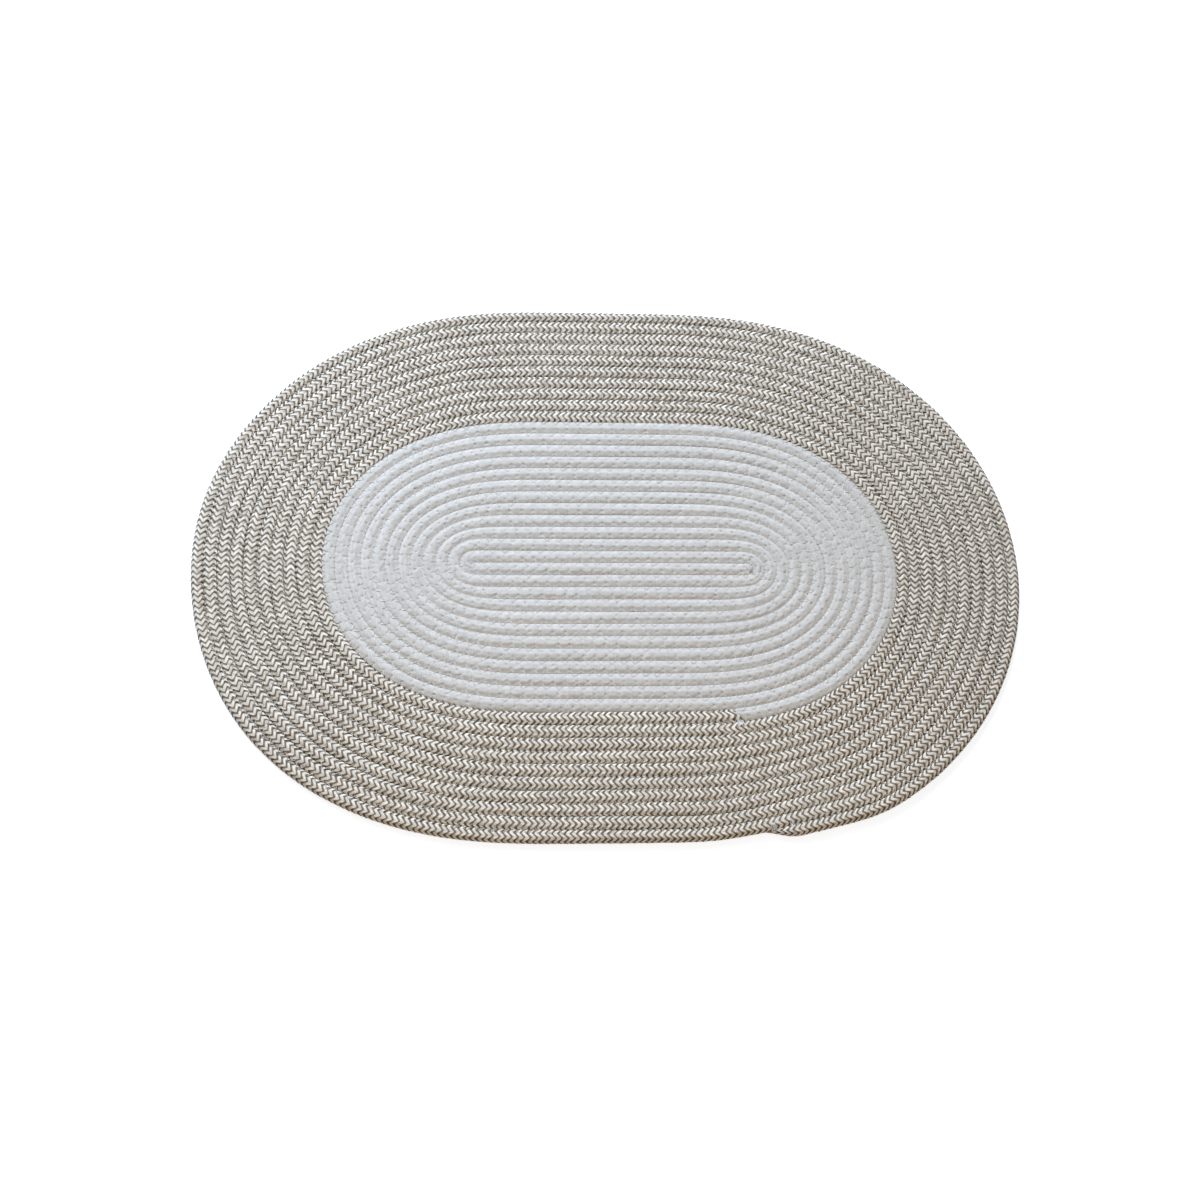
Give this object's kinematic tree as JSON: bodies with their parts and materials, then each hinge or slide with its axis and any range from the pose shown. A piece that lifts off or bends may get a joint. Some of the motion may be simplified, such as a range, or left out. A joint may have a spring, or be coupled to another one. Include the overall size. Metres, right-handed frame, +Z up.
{
  "type": "doormat",
  "caption": "Oval doormat of braided cord wound flat and sewn edge to edge, with a cream centre and a two-tone border.",
  "frame": {"origin": "middle of the outline, on the underside", "axes": "+X along the mat's length, +Z up through its thickness, +Y across it"},
  "size_m": [0.5978, 0.4046, 0.008],
  "materials": {
    "cream_yarn": "off-white braided cotton cord, matt, in one colour",
    "two_tone_yarn": "braided cotton cord of white and taupe-brown yarns in turn, matt"
  },
  "bodies": {
    "root": {"cream_cord": "cream_yarn", "two_tone_cord": "two_tone_yarn"}
  },
  "joints": []
}
